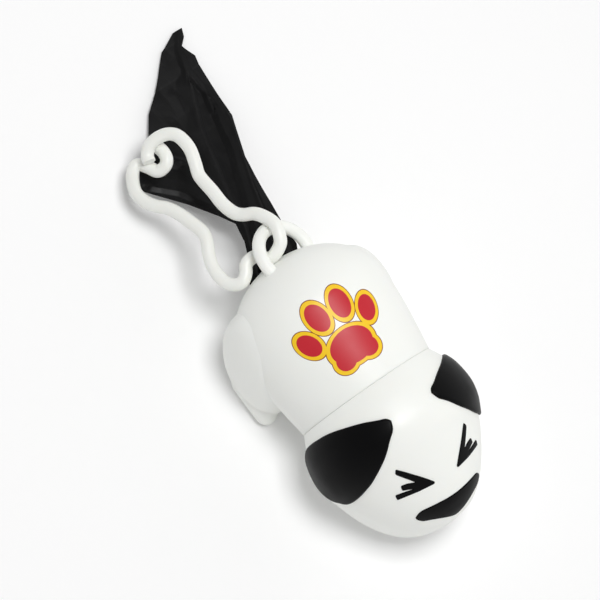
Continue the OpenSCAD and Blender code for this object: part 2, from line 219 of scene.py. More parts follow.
def reckon(tree, operation, a, b=None, clamp=False):
    """A Math node on sockets or numbers."""
    node = add(tree, "ShaderNodeMath", {"operation": operation, "use_clamp": clamp})
    for socket, value in zip(node.inputs, (a, b)):
        if value is None:
            continue
        if isinstance(value, (int, float)):
            socket.default_value = value
        else:
            tree.links.new(value, socket)
    return node.outputs[0]


def bare_material(name):
    """A new material with no nodes but its Object coordinates: itself, its tree and these."""
    material = bpy.data.materials.new(name)
    material.use_nodes = True
    tree = material.node_tree
    tree.nodes.clear()
    return material, tree, add(tree, "ShaderNodeTexCoord").outputs["Object"]


def satin_plastic(name, colour, shade, roughness, grain=0.05, soft=0.1, sheen=0.5):
    """Moulded plastic: its tint drifts a little between two colours, its gloss is uneven,
    and a fine grain with slow flow waves breaks up the highlights."""
    material, tree, place = bare_material(name)
    drift = add(tree, "ShaderNodeTexNoise", links={"Vector": place}, Scale=45.0, Detail=3.0)
    tint = add(tree, "ShaderNodeMix", {"data_type": "RGBA"},
               {"Factor": reckon(tree, "MULTIPLY", drift.outputs["Fac"], 0.6)})
    tint.inputs["A"].default_value = colour
    tint.inputs["B"].default_value = shade
    patches = add(tree, "ShaderNodeTexNoise", links={"Vector": place}, Scale=160.0, Detail=4.0)
    gloss = add(tree, "ShaderNodeMapRange", links={"Value": patches.outputs["Fac"]},
                From_Min=0.3, From_Max=0.7, To_Min=roughness - 0.04, To_Max=roughness + 0.05)
    fine = add(tree, "ShaderNodeTexNoise", links={"Vector": place}, Scale=5200.0, Detail=2.0)
    slow = add(tree, "ShaderNodeTexNoise", links={"Vector": place}, Scale=90.0, Detail=1.0)
    waves = add(tree, "ShaderNodeBump", links={"Height": slow.outputs["Fac"]},
                Strength=0.05, Distance=0.0004)
    bump = add(tree, "ShaderNodeBump", links={"Height": fine.outputs["Fac"],
                                              "Normal": waves.outputs["Normal"]},
               Strength=grain, Distance=0.00005)
    skin = add(tree, "ShaderNodeBsdfPrincipled",
               links={"Base Color": tint.outputs["Result"], "Roughness": gloss.outputs["Result"],
                      "Normal": bump.outputs["Normal"]},
               IOR=1.49, Specular_IOR_Level=sheen, Subsurface_Weight=soft,
               Subsurface_Scale=0.0012)
    skin.inputs["Subsurface Radius"].default_value = (1.0, 0.9, 0.75)
    add(tree, "ShaderNodeOutputMaterial", links={"Surface": skin.outputs["BSDF"]})
    return material


WHITE = linear(247, 248, 244)
WHITE_SHADE = linear(242, 244, 238)
case_white = satin_plastic("case_white", WHITE, WHITE_SHADE, 0.42)
printed_white = satin_plastic("printed_white", WHITE, WHITE_SHADE, 0.42)


def paint_print(material):
    """A paw print in red ink with a yellow edge, pad-printed on the back."""
    tree = material.node_tree
    skin = next(n for n in tree.nodes if n.type == "BSDF_PRINCIPLED")
    plain = skin.inputs["Base Color"].links[0].from_socket
    place = add(tree, "ShaderNodeSeparateXYZ",
                links={"Vector": add(tree, "ShaderNodeTexCoord").outputs["Object"]})
    x, y, z = place.outputs
    height = reckon(tree, "SUBTRACT", z, AXIS_Z * MM)
    turn = reckon(tree, "SUBTRACT", reckon(tree, "ARCTAN2", x, height),
                  float(np.radians(PRINT_TURN)))
    across = reckon(tree, "MULTIPLY", turn, PRINT_R)
    along = reckon(tree, "SUBTRACT", reckon(tree, "DIVIDE", y, MM), SEAM_Y + PRINT_S)
    spot = add(tree, "ShaderNodeCombineXYZ", links={"X": across, "Y": along}).outputs[0]
    nearest = None
    for middle, half, lean in PADS:
        pad = add(tree, "ShaderNodeMapping", {"vector_type": "TEXTURE"}, {"Vector": spot})
        pad.inputs["Location"].default_value = (*middle, 0)
        pad.inputs["Rotation"].default_value = (0, 0, float(np.radians(lean)))
        pad.inputs["Scale"].default_value = (*half, 1)
        far = add(tree, "ShaderNodeVectorMath", {"operation": "LENGTH"},
                  {"Vector": pad.outputs["Vector"]}).outputs["Value"]
        off = reckon(tree, "MULTIPLY", reckon(tree, "SUBTRACT", far, 1.0), float(np.mean(half)))
        nearest = off if nearest is None else reckon(tree, "MINIMUM", nearest, off)
    over = reckon(tree, "GREATER_THAN", height, 0.0)
    colour = plain
    for ink, reach in ((linear(120, 22, 18), PRINT_EDGE + PRINT_LINE),
                       (linear(247, 203, 24), PRINT_EDGE), (linear(196, 26, 42), 0.0)):
        inside = reckon(tree, "SUBTRACT", reach, nearest)
        edge = reckon(tree, "MULTIPLY", inside, INK_EDGE, clamp=True)
        mix = add(tree, "ShaderNodeMix", {"data_type": "RGBA"},
                  {"Factor": reckon(tree, "MULTIPLY", edge, over), "A": colour})
        mix.inputs["B"].default_value = ink
        colour = mix.outputs["Result"]
    tree.links.new(colour, skin.inputs["Base Color"])


paint_print(printed_white)
rear.data.materials.clear()
rear.data.materials.append(printed_white)
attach(rear, "case")
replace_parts(rear, "rear_shell", "spigot")

# ---- Legs ----
# A thigh and a foot on each flank, moulded in the same white plastic. The thigh is a thick
# rounded slab that leans back, and the foot lies flat on the ground with its toes forward.
THIGH_AT = (16.3, 23.5, -8.5)
THIGH_HALF = (9.3, 13.5, 21.0)
THIGH_LEAN = 18.0
THIGH_SQUARE = 0.13       # how much the thighs fill their corners
TOE = (21.1, 11.8, 3.4)   # x, distance behind the seam and radius
HEEL = (20.5, 22.0, 4.6)
HEEL_SINK = 0.4
LEG_SINK = 0.35           # how far the leg's inner side is let into the shell
LEG_VOXEL = 0.4
THIGH_GRID = (36, 48)
FOOT_GRID = (24, 32)


def thigh_points():
    """Points of the thigh's rounded slab, poles at its top and foot."""
    rows, columns = THIGH_GRID
    up = np.linspace(-np.pi / 2 + 0.03, np.pi / 2 - 0.03, rows)
    round_it = np.linspace(0, 2 * np.pi, columns, endpoint=False)
    out = []
    for a in up:
        c, s = np.cos(round_it), np.sin(round_it)
        power = 1 - THIGH_SQUARE
        ring = np.stack([THIGH_HALF[0] * np.sign(c) * np.abs(c) ** power * np.cos(a) ** power,
                         THIGH_HALF[1] * np.sign(s) * np.abs(s) ** power * np.cos(a),
                         np.full(columns, THIGH_HALF[2] * np.sin(a))], -1)
        out.append(ring)
    points = np.concatenate(out)
    lean = np.radians(-THIGH_LEAN)
    turn = np.array([[1, 0, 0], [0, np.cos(lean), -np.sin(lean)], [0, np.sin(lean), np.cos(lean)]])
    return points @ turn.T + np.array(THIGH_AT)


def capped(rows, columns):
    """Faces of a stack of rings, closed at both ends."""
    last = (rows - 1) * columns
    return (rings_to_faces(rows, columns) + [list(range(columns))[::-1]]
            + [list(range(last, last + columns))])


def foot_points():
    """Points of the foot: a tapering bar with a ball at the toes and one at the heel."""
    rows, columns = FOOT_GRID
    toe = np.array([TOE[0], TOE[1], TOE[2] - AXIS_Z])
    heel = np.array([HEEL[0], HEEL[1], HEEL[2] - HEEL_SINK - AXIS_Z])
    way = (heel - toe) / np.linalg.norm(heel - toe)
    side = np.cross(way, [0, 0, 1.0])
    top = np.cross(side, way)
    turn = np.linspace(0, 2 * np.pi, columns, endpoint=False)
    out = []
    for a in np.linspace(-np.pi / 2 + 0.05, np.pi / 2 - 0.05, rows):
        end, radius = (toe, TOE[2]) if a < 0 else (heel, HEEL[2])
        middle = end + way * radius * np.sin(a)
        ring = [middle + radius * np.cos(a) * (np.cos(t) * side + np.sin(t) * top) for t in turn]
        out.append(ring)
    return np.concatenate(out)


def leg(side, name):
    """One leg, its inner side let into the shell."""
    thigh = thigh_points()
    foot = foot_points()
    faces = capped(*THIGH_GRID) + [[i + len(thigh) for i in f] for f in capped(*FOOT_GRID)]
    points = np.concatenate([thigh, foot])
    points[:, 0] *= side
    piece = new_piece(name, in_frame(points), faces)
    joined = piece.modifiers.new("join", "REMESH")
    joined.mode = "VOXEL"
    joined.voxel_size = LEG_VOXEL * MM
    soften = piece.modifiers.new("soften", "SMOOTH")
    soften.factor = 0.5
    soften.iterations = 3
    baked(piece)
    count = len(piece.data.vertices)
    co = np.zeros(count * 3)
    piece.data.vertices.foreach_get("co", co)
    co = co.reshape(-1, 3) / MM - [0, SEAM_Y, AXIS_Z]
    radius = np.hypot(co[:, 0], co[:, 2])
    inside = rump_radius(co[:, 1]) - LEG_SINK
    push = np.where(radius < inside, inside / np.maximum(radius, 1e-6), 1)
    co[:, 0] *= push
    co[:, 2] *= push
    piece.data.vertices.foreach_set("co", resting(in_frame(co)).ravel())
    piece.data.update()
    piece.data.shade_smooth()
    piece.data.materials.clear()
    piece.data.materials.append(case_white)
    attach(piece, "case")
    return piece


for side, name in ((1, "left"), (-1, "right")):
    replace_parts(leg(side, name + "_haunch"), name + "_leg")

# ---- Head shell ----
# The head half of the case, in the same white plastic: wide cheeks, a high crown and low
# jowls, lofted through cross-sections. A bore from the seam holds the front of the roll.
HEAD_LEN = 42.5
CHEEK_R = 25.2
CROWN_H = 25.2
BORE_R = 19.2
BORE_LEN = 16.0
HOLLOW_LEN = 36.5
# Shares of the length, the cheeks' half width, the axis height (drop of the widest level), the
# crown's height and the axis height, and how much the jowls fill the lower half's corners
HEAD_FORM = [
    [0.071, 0.893, 0.000, 0.889, 0.960, 0.01], [0.169, 0.968, 0.013, 0.952, 0.970, 0.05],
    [0.306, 1.000, 0.035, 1.000, 0.960, 0.12], [0.419, 0.976, 0.070, 0.984, 0.925, 0.17],
    [0.518, 0.909, 0.110, 0.925, 0.880, 0.21], [0.612, 0.837, 0.149, 0.873, 0.840, 0.25],
    [0.720, 0.734, 0.202, 0.806, 0.780, 0.28], [0.833, 0.595, 0.237, 0.706, 0.680, 0.30],
    [0.915, 0.452, 0.246, 0.563, 0.550, 0.30], [0.974, 0.266, 0.237, 0.349, 0.350, 0.30],
    [1.000, 0.000, 0.228, 0.000, 0.000, 0.30], [0.974, -0.266, 0.237, -0.349, -0.350, 0.30]]
HEAD_SCALE = np.array([HEAD_LEN, CHEEK_R, -AXIS_Z, CROWN_H, AXIS_Z, 1.0])
HEAD_ROWS = np.vstack([[0, SEAM_R, 0, SEAM_R, SEAM_R, 0], np.array(HEAD_FORM) * HEAD_SCALE])
NOSE_TIP = len(HEAD_FORM) - 1
HEAD_SIDES = 160
HEAD_RINGS = 130


def through(rows, k):
    """Smooth curve through rows of values, at the row numbers k."""
    rows = np.asarray(rows, float)
    wide = np.vstack([2 * rows[0] - rows[1], rows, 2 * rows[-1] - rows[-2]])
    k = np.atleast_1d(np.asarray(k, float))
    i = np.clip(np.floor(k).astype(int), 0, len(rows) - 2)
    t = (k - i)[:, None]
    a, b, c, d = (wide[i + n] for n in range(4))
    return 0.5 * (2 * b + (c - a) * t + (2 * a - 5 * b + 4 * c - d) * t ** 2
                  + (3 * b - a - 3 * c + d) * t ** 3)


def head_points(k, angle):
    """Points of the head's skin: k counts the sections, angle turns from crown to its left."""
    s, half, level, over, under, fill = through(HEAD_ROWS, k).T
    c, sn = np.cos(np.radians(angle)), np.sin(np.radians(angle))
    lower = c < 0
    power = np.where(lower, 1 - fill, 1.0)
    x = half * np.sign(sn) * np.abs(sn) ** power
    h = level + np.where(lower, under, over) * np.sign(c) * np.abs(c) ** power
    return np.stack([x, -s, h], -1)


def head_mesh():
    """Rings of the head from the tip of the nose back to the seam and into the bore."""
    angle = np.linspace(-180, 180, HEAD_SIDES, endpoint=False)
    ks = np.concatenate([[NOSE_TIP - 0.004, NOSE_TIP - 0.02, NOSE_TIP - 0.06],
                         np.linspace(NOSE_TIP - 0.12, 0.02, HEAD_RINGS)])
    rings = [head_points(np.full(HEAD_SIDES, k), angle) for k in ks]
    rad = np.radians(angle)
    inner = [(RIM_ROUND * 0.3, SEAM_R - 0.1), (0.0, SEAM_R - 0.3), (0.0, BORE_R + 0.25),
             (0.25, BORE_R), (BORE_LEN, BORE_R)]
    inner += [(BORE_LEN + (HOLLOW_LEN - BORE_LEN) * np.sin(t), BORE_R * np.cos(t))
              for t in np.linspace(0, np.pi / 2 - 0.02, 24)[1:]]
    for s, r in inner:
        rings.append(np.stack([r * np.sin(rad), np.full(HEAD_SIDES, -s), r * np.cos(rad)], -1))
    return np.concatenate(rings), capped(len(rings), HEAD_SIDES)


points, faces = head_mesh()
head = new_piece("head_case", resting(in_frame(points)), faces, sharp=40)
head.data.materials.append(case_white)
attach(head, "head")
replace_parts(head, "head_shell")

# ---- Ears ----
# Two floppy ears of black plastic, let into the sides of the head and standing a little
# proud, with a rounded edge.
EAR_PROUD = 0.8
EAR_ROUND = 0.75
INLAY_DEPTH = 0.4
# Angle from the crown, and distances of the upper and the lower edge in front of the seam
EAR_EDGES = [[16.2, 10.9, 11.3], [18.2, 9.8, 13.3], [23, 8.9, 15.1], [33, 7.0, 18.5],
             [48, 5.1, 21.3], [60, 4.1, 22.4], [72, 3.7, 22.8], [84, 3.6, 22.3],
             [92.5, 3.9, 20.0], [98.5, 4.9, 17.2], [102.5, 6.8, 14.2], [104, 9.0, 11.7]]
ARC_MM = 0.40             # arc length of a degree of the head, as the outlines are drawn
K_FINE = np.linspace(0, NOSE_TIP, 600)
S_FINE = through(HEAD_ROWS, K_FINE)[:, 0]


def on_head(flat, proud):
    """Points (distance in front of the seam, arc from the crown) set proud on the head's skin."""
    k = np.interp(flat[:, 0], S_FINE, K_FINE)
    angle = flat[:, 1] / ARC_MM
    here = head_points(k, angle)
    turn = head_points(k, angle + 0.5) - head_points(k, angle - 0.5)
    run = head_points(k + 0.02, angle) - head_points(k - 0.02, angle)
    out = np.cross(run, turn)
    out /= np.linalg.norm(out, axis=1, keepdims=True)
    return here + out * proud[:, None]


def loop_through(points, steps):
    """A closed smooth curve through points."""
    points = np.asarray(points, float)
    wrapped = np.vstack([points[-2:], points, points[:3]])
    k = np.linspace(2, 2 + len(points), steps * len(points), endpoint=False)
    return through(wrapped, k)


def edge_distance(points, outline):
    """Distance of each point to a closed outline."""
    a = outline
    run = np.roll(outline, -1, 0) - a
    length = np.maximum((run ** 2).sum(1), 1e-12)
    out = np.empty(len(points))
    for i, p in enumerate(points):
        t = np.clip(((p - a) * run).sum(1) / length, 0, 1)
        out[i] = np.sqrt((((a + run * t[:, None]) - p) ** 2).sum(1).min())
    return out


def within(point, outline):
    """Whether a point lies inside a closed outline."""
    a, b = outline, np.roll(outline, -1, 0)
    spans = (a[:, 1] > point[1]) != (b[:, 1] > point[1])
    rise = np.where(spans, b[:, 1] - a[:, 1], 1)
    cross = a[:, 0] + (point[1] - a[:, 1]) * (b[:, 0] - a[:, 0]) / rise
    return (spans & (point[0] < cross)).sum() % 2 == 1


def inlay(name, outline, proud, rounding, spacing):
    """A thin pad on the head with this outline, its edge rounded and its foot let in."""
    low, high = outline.min(0), outline.max(0)
    xs = np.arange(low[0], high[0], spacing)
    ys = np.arange(low[1], high[1], spacing * 0.9)
    grid = np.array([(x + (j % 2) * spacing / 2, y) for j, y in enumerate(ys) for x in xs])
    ring_steps = [0.06, 0.16, 0.3, 0.5, 0.75, 1.0]
    run = np.roll(outline, -1, 0) - np.roll(outline, 1, 0)
    x, y = outline.T
    area = (x * np.roll(y, -1) - y * np.roll(x, -1)).sum()
    inward = np.stack([-run[:, 1], run[:, 0]], -1) * np.sign(area)
    inward /= np.linalg.norm(inward, axis=1, keepdims=True)
    shoulders = [outline + inward * rounding * step for step in ring_steps]
    band = [np.array([q for q in p[edge_distance(p, outline) > rounding * step * 0.93]
                      if within(q, outline)]).reshape(-1, 2)
            for p, step in zip(shoulders, ring_steps)]
    grid = grid[edge_distance(grid, outline) > rounding + spacing * 0.6]
    grid = np.array([p for p in grid if within(p, outline)]).reshape(-1, 2)
    count = len(outline)
    loose = np.concatenate(band + [grid])
    result = delaunay_2d_cdt([Vector(p) for p in np.concatenate([outline, loose])],
                             [], [list(range(count))], 1, 1e-6, True)
    flat = np.array([tuple(p) for p in result[0]])
    faces = [list(f) for f in result[2] if within(flat[list(f)].mean(0), outline)]
    origin = result[3]
    rim = [next(i for i, o in enumerate(origin) if n in o) for n in range(count)]
    depth = edge_distance(flat, outline)
    share = np.clip(depth / rounding, 0, 1)
    height = proud * (0.25 + 0.75 * np.sqrt(1 - (1 - share) ** 2))
    top = on_head(flat, height)
    foot = on_head(flat, np.full(len(flat), -INLAY_DEPTH))
    total = len(flat)
    faces += [[v + total for v in reversed(f)] for f in faces]
    for n in range(count):
        a, b = rim[n], rim[(n + 1) % count]
        faces.append([a, b, b + total, a + total])
    return new_piece(name, resting(in_frame(np.concatenate([top, foot]))), faces, sharp=50)


def one_edge(rows, column):
    """One edge of a table as points (distance in front of the seam, arc from the crown)."""
    return [(row[column], row[0] * ARC_MM) for row in rows]


black_trim = satin_plastic("black_trim", linear(5, 5, 6), linear(8, 8, 9), 0.45, soft=0.0,
                           sheen=0.09)
ear_outline = loop_through(one_edge(EAR_EDGES, 1) + one_edge(EAR_EDGES, 2)[::-1], 6)
for side, name in ((1, "left"), (-1, "right")):
    ear = inlay(name + "_ear_pad", ear_outline * [1, side], EAR_PROUD, EAR_ROUND, 0.6)
    ear.data.materials.append(black_trim)
    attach(ear, "head")
    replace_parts(ear, name + "_ear")

# ---- Eyes and nose ----
# Squinting eyes of three strokes that meet in a point, and a wide nose over the muzzle, all
# in black, hardly raised.
INK_PROUD = 0.25
INK_ROUND = 0.25
# Corners of the left eye: distance in front of the seam and angle from the crown
EYE_CORNERS = [(22.3, 31.2), (23.4, 33.6), (26.0, 29.2), (28.2, 25.2), (27.2, 30.8), (26.7, 36.0),
               (28.0, 37.6), (28.7, 33.2), (29.4, 29.4), (28.7, 36.2), (27.9, 44.6), (29.3, 46.2),
               (30.7, 27.6), (31.4, 13.2), (31.0, 12.0), (26.3, 22.8)]
NOSE_EDGES = [[50.5, 36.2, 36.9], [48, 35.8, 37.9], [40, 35.4, 38.9], [30, 35.8, 40.0],
              [20, 36.2, 40.8], [10, 36.5, 41.25], [0, 36.6, 41.4]]


def dense(corners, step, rounding):
    """A closed outline through corners, cut round by a small radius and finely divided."""
    corners = np.asarray(corners, float)
    out = []
    for n, p in enumerate(corners):
        back = corners[n - 1] - p
        on = corners[(n + 1) % len(corners)] - p
        a = p + back / np.linalg.norm(back) * min(rounding, np.linalg.norm(back) * 0.45)
        b = p + on / np.linalg.norm(on) * min(rounding, np.linalg.norm(on) * 0.45)
        for t in np.linspace(0, 1, 6):
            out.append((1 - t) ** 2 * a + 2 * t * (1 - t) * p + t ** 2 * b)
        end = corners[(n + 1) % len(corners)] - on / np.linalg.norm(on) * min(
            rounding, np.linalg.norm(on) * 0.45)
        count = int(np.linalg.norm(end - b) / step)
        for t in np.linspace(0, 1, count + 2)[1:-1]:
            out.append(b + (end - b) * t)
    return np.array(out)


eye_flat = np.array([(s, a * ARC_MM) for s, a in EYE_CORNERS])
eye_outline = dense(eye_flat, 0.3, 0.5)
for side, name in ((1, "left"), (-1, "right")):
    eye = inlay(name + "_eye_mark", eye_outline * [1, side], INK_PROUD, INK_ROUND, 0.4)
    eye.data.materials.append(black_trim)
    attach(eye, "head")
    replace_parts(eye, name + "_eye")

upper, lower = one_edge(NOSE_EDGES, 1), one_edge(NOSE_EDGES, 2)
half = upper + [(s, -a) for s, a in upper[-2::-1]]
rest = [(s, -a) for s, a in lower[:-1]] + lower[::-1]
nose_outline = loop_through(half + rest, 6)
nose = inlay("nose_pad", nose_outline, INK_PROUD, INK_ROUND, 0.45)
nose.data.materials.append(black_trim)
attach(nose, "head")
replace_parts(nose, "nose")

# ---- Tail ----
# A round rod of the shell's own plastic, curled into a ring. Its root grows out of the rump
# and its cut tip rests on it again, which leaves a loop for the clip.
TAIL_D = 3.7
CURL_MID = np.array([2.3, REAR_LEN + 0.2, 4.6])
CURL_HALF = (10.15, 7.9)
CURL_LEAN = 33.0
CURL_FROM = -30.0
CURL_TO = 203.0
TIP_FLARE = 0.25          # how much the rod widens to its foot on the rump
TIP_RUN = 40.0            # over this many degrees of the curl
TIP_REACH = 0.06          # how far the foot swings out, as a share of the curl's half width
FLASH = 0.05              # height of the moulding line along a rod
ROD_SIDES = 32
ROD_CREASE = 60           # only the rod's cut ends are sharper than this many degrees


def opened_tree(name, inputs):
    """A Geometry Nodes tree with these inputs by name and kind, and the sockets that give them."""
    tree = bpy.data.node_groups.new(name, "GeometryNodeTree")
    for label, kind in [("Geometry", "Geometry"), *inputs, ("Finish", "Material")]:
        tree.interface.new_socket(label, in_out="INPUT", socket_type="NodeSocket" + kind)
    tree.interface.new_socket("Geometry", in_out="OUTPUT", socket_type="NodeSocketGeometry")
    return tree, add(tree, "NodeGroupInput").outputs


def swept_finish(tree, given, curve, section):
    """Ends a tree: the section swept along the curve, capped, smooth and in its finish."""
    swept = add(tree, "GeometryNodeCurveToMesh", links={"Curve": curve, "Profile Curve": section})
    swept.inputs["Fill Caps"].default_value = True
    smooth = add(tree, "GeometryNodeSetShadeSmooth", links={"Geometry": swept.outputs["Mesh"]})
    real = add(tree, "GeometryNodeRealizeInstances",
               links={"Geometry": smooth.outputs["Geometry"]})
    finish = add(tree, "GeometryNodeSetMaterial", links={"Geometry": real.outputs["Geometry"],
                                                         "Material": given["Finish"]})
    add(tree, "NodeGroupOutput", links={"Geometry": finish.outputs["Geometry"]})
    return tree


def moulded_rod_tree():
    """Sweeps a round section with a moulding line on two sides along the input's edges."""
    tree, given = opened_tree("moulded_rod", [("Rod diameter", "Float"), ("Moulding line", "Float"),
                                              ("Sides", "Int")])
    path = add(tree, "GeometryNodeMeshToCurve", links={"Mesh": given["Geometry"]})
    thin = add(tree, "GeometryNodeInputNamedAttribute", {"data_type": "FLOAT"}, Name="thickness")
    sized = add(tree, "GeometryNodeSetCurveRadius", links={"Curve": path.outputs["Curve"],
                                                           "Radius": thin.outputs["Attribute"]})
    upright = add(tree, "GeometryNodeSetCurveNormal", {"mode": "Z_UP"},
                  {"Curve": sized.outputs["Curve"]})
    radius = reckon(tree, "MULTIPLY", given["Rod diameter"], 0.5)
    ring = add(tree, "GeometryNodeCurvePrimitiveCircle", links={"Resolution": given["Sides"],
                                                                "Radius": radius})
    spot = add(tree, "GeometryNodeInputPosition").outputs["Position"]
    x = add(tree, "ShaderNodeSeparateXYZ", links={"Vector": spot}).outputs["X"]
    share = reckon(tree, "DIVIDE", reckon(tree, "ABSOLUTE", x), radius)
    ridge = reckon(tree, "MULTIPLY", reckon(tree, "GREATER_THAN", share, 0.995),
                   given["Moulding line"])
    way = add(tree, "ShaderNodeVectorMath", {"operation": "NORMALIZE"}, {"Vector": spot})
    lift = add(tree, "ShaderNodeVectorMath", {"operation": "SCALE"},
               {"Vector": way.outputs["Vector"], "Scale": ridge})
    lined = add(tree, "GeometryNodeSetPosition", links={"Geometry": ring.outputs["Curve"],
                                                        "Offset": lift.outputs["Vector"]})
    return swept_finish(tree, given, upright.outputs["Curve"], lined.outputs["Geometry"])


def set_input(modifier, name, value):
    """Sets a Geometry Nodes input by its socket's identifier."""
    item = next(i for i in modifier.node_group.interface.items_tree
                if i.name == name and i.in_out == "INPUT")
    modifier[item.identifier] = value


def rod(name, path, thickness, diameter, finish, place):
    """A rod swept along a path in its own plane, which place then sets in the frame."""
    mesh = bpy.data.meshes.new(name)
    mesh.from_pydata([tuple(p) for p in np.asarray(path) * MM],
                     [(i, i + 1) for i in range(len(path) - 1)], [])
    attribute = mesh.attributes.new("thickness", "FLOAT", "POINT")
    attribute.data.foreach_set("value", np.asarray(thickness, np.float32))
    piece = shown(name, mesh)
    sweep = piece.modifiers.new("sweep", "NODES")
    sweep.node_group = rod_tree
    set_input(sweep, "Rod diameter", diameter * MM)
    set_input(sweep, "Moulding line", FLASH * MM)
    set_input(sweep, "Sides", ROD_SIDES)
    set_input(sweep, "Finish", finish)
    baked(piece)
    bm = bmesh.new()
    bm.from_mesh(piece.data)
    bm.transform(place)
    bmesh.ops.recalc_face_normals(bm, faces=bm.faces)
    bm.to_mesh(piece.data)
    bm.free()
    if not piece.data.materials:
        piece.data.materials.append(finish)
    piece.data.set_sharp_from_angle(angle=np.radians(ROD_CREASE))
    return piece


def rounded_ends(path, radius, start, end):
    """Thickness along a path that rounds off over a share of the radius at each end."""
    run = np.concatenate([[0], np.cumsum(np.linalg.norm(np.diff(path, axis=0), axis=1))])
    out = np.ones(len(path))
    for chosen, distance in ((start, run), (end, run[-1] - run)):
        if chosen:
            near = np.clip(distance / (radius * chosen), 0, 1)
            out = np.minimum(out, np.sqrt(np.maximum(1 - (1 - near) ** 2, 0.02)))
    return out


def placed(middle, x_axis, y_axis, z_axis):
    """The matrix that sets a piece's own axes in the frame."""
    m = Matrix.Identity(4)
    for column, axis in enumerate((x_axis, y_axis, z_axis)):
        for row in range(3):
            m[row][column] = axis[row]
    for row, value in enumerate(in_frame(middle)):
        m[row][3] = value
    return m


rod_tree = moulded_rod_tree()
lean = np.radians(CURL_LEAN)
curl_side = np.array([-np.cos(lean), 0, np.sin(lean)])
curl_under = np.cross(curl_side, [0, 1, 0])
turns = np.radians(np.linspace(CURL_FROM, CURL_TO, 190))
tip_run = np.radians(TIP_RUN)
foot = np.clip(1 - np.radians(CURL_TO) / tip_run + turns / tip_run, 0, 1) ** 2
reach = 1 + TIP_REACH * foot
curl_path = np.stack([-CURL_HALF[0] * np.cos(turns) * reach, CURL_HALF[1] * np.sin(turns) * reach,
                      0 * turns], -1)
curl_size = rounded_ends(curl_path, TAIL_D / 2, 0, 0.4) * (1 + TIP_FLARE * foot)
tail = rod("tail_curl", curl_path, curl_size, TAIL_D, case_white,
           placed(CURL_MID, curl_side, (0, 1, 0), curl_under))
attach(tail, "case")
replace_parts(tail, "tail_ring")

# ---- Clip ----
# One springy rod of white plastic, bent to the outline of a bone. Its two ends are hooked
# into each other, the long side springs open, and the other side hangs in the tail's loop.
CLIP_D = 3.7
CLIP_W = 21.3
CLIP_LEN = 47.3
CLIP_TURNS = (2.3, -19.8, -27.1)   # about the vertical, its width and its length
# Where the clip hangs: across, along and above the middle of the curl, clear of its rod
HANG = (CURL_HALF[0] - (TAIL_D + CLIP_D) / 2 - 0.28,
        CURL_HALF[1] - (TAIL_D + CLIP_D) / 2 - 0.9, 2.37)
# Points across and along the clip's plane, in shares of its width and length, their height
# over it in mm, and the rod's share of its full thickness, from the notch in the tail's loop
HOOK_SIDE = [(-0.054, 0.005, -0.5, 0.78), (-0.006, -0.038, -0.5, 0.92), (0.080, -0.068, -0.3, 1),
             (0.240, -0.056, 0, 1), (0.326, -0.024, 0.4, 1), (0.398, 0.047, 0.9, 1),
             (0.372, 0.127, 0.9, 1), (0.301, 0.198, 0.4, 1), (0.190, 0.246, 0, 1),
             (0.119, 0.299, 0, 1), (0.092, 0.389, 0, 1), (0.112, 0.493, 0, 1),
             (0.121, 0.592, 0, 1), (0.141, 0.638, 0.2, 1), (0.212, 0.698, 0.6, 1),
             (0.295, 0.784, 1.2, 1), (0.305, 0.877, 1.9, 1), (0.235, 0.934, 2.3, 1),
             (0.103, 0.966, 2.4, 1), (-0.043, 0.975, 2.2, 1), (-0.133, 0.960, 1.7, 1),
             (-0.183, 0.938, 1.4, 1), (-0.210, 0.911, 1.3, 1)]
CATCH_SIDE = [(-0.054, 0.005, -0.5, 0.78), (-0.141, 0.023, -0.3, 0.66), (-0.240, 0.015, 0, 0.64),
              (-0.321, -0.021, 0, 0.64), (-0.422, -0.041, 0, 0.65), (-0.521, -0.020, 0, 0.66),
              (-0.591, 0.047, 0, 0.68), (-0.577, 0.151, 0, 0.7), (-0.496, 0.232, 0, 0.74),
              (-0.408, 0.289, 0, 0.8), (-0.352, 0.357, 0, 0.86), (-0.374, 0.458, 0, 0.9),
              (-0.415, 0.564, 0, 0.92), (-0.474, 0.637, 0, 0.93), (-0.560, 0.698, 0, 0.95),
              (-0.620, 0.772, 0, 0.98), (-0.627, 0.854, -0.3, 1), (-0.551, 0.930, -0.9, 1.04),
              (-0.472, 0.976, -1.6, 1.03), (-0.403, 0.993, -2.1, 1.02), (-0.341, 0.982, -2.5, 1),
              (-0.289, 0.932, -2.7, 1), (-0.236, 0.870, -2.7, 1), (-0.123, 0.855, -2.5, 1),
              (-0.039, 0.876, -2.2, 1), (-0.004, 0.923, -2, 1), (-0.011, 0.980, -1.9, 1)]
CLIP_STEPS = 12
FLEX_ROW = 9              # row of the hook side where the CAD's arm begins


def turn_about(axis, degrees):
    """A 3 by 3 turn about one of the frame's axes."""
    return np.array(Matrix.Rotation(np.radians(degrees), 3, axis))


clip_rows = np.array(CATCH_SIDE[:0:-1] + HOOK_SIDE) * [CLIP_W, CLIP_LEN, 1, 1]
spans = len(clip_rows) - 1
clip_curve = through(clip_rows, np.linspace(0, spans, CLIP_STEPS * spans + 1))
clip_turn = (turn_about("Z", CLIP_TURNS[0]) @ turn_about("X", CLIP_TURNS[1])
             @ turn_about("Y", CLIP_TURNS[2]))
hang = CURL_MID + HANG[0] * curl_side + HANG[1] * np.array([0, 1, 0]) + HANG[2] * curl_under
clip_place = placed(hang, *clip_turn.T)
clip_white = satin_plastic("clip_white", linear(244, 245, 240), linear(240, 241, 235), 0.34)
clip_path = clip_curve[:, :3]
clip_size = rounded_ends(clip_path, CLIP_D / 2, 0.7, 0.7) * clip_curve[:, 3]
split = CLIP_STEPS * (len(CATCH_SIDE) - 1 + FLEX_ROW - 1)
catch = rod("clip_catch_side", clip_path[:split + 1], clip_size[:split + 1], CLIP_D, clip_white,
            clip_place)
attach(catch, "clip")
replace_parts(catch, "clip_frame")
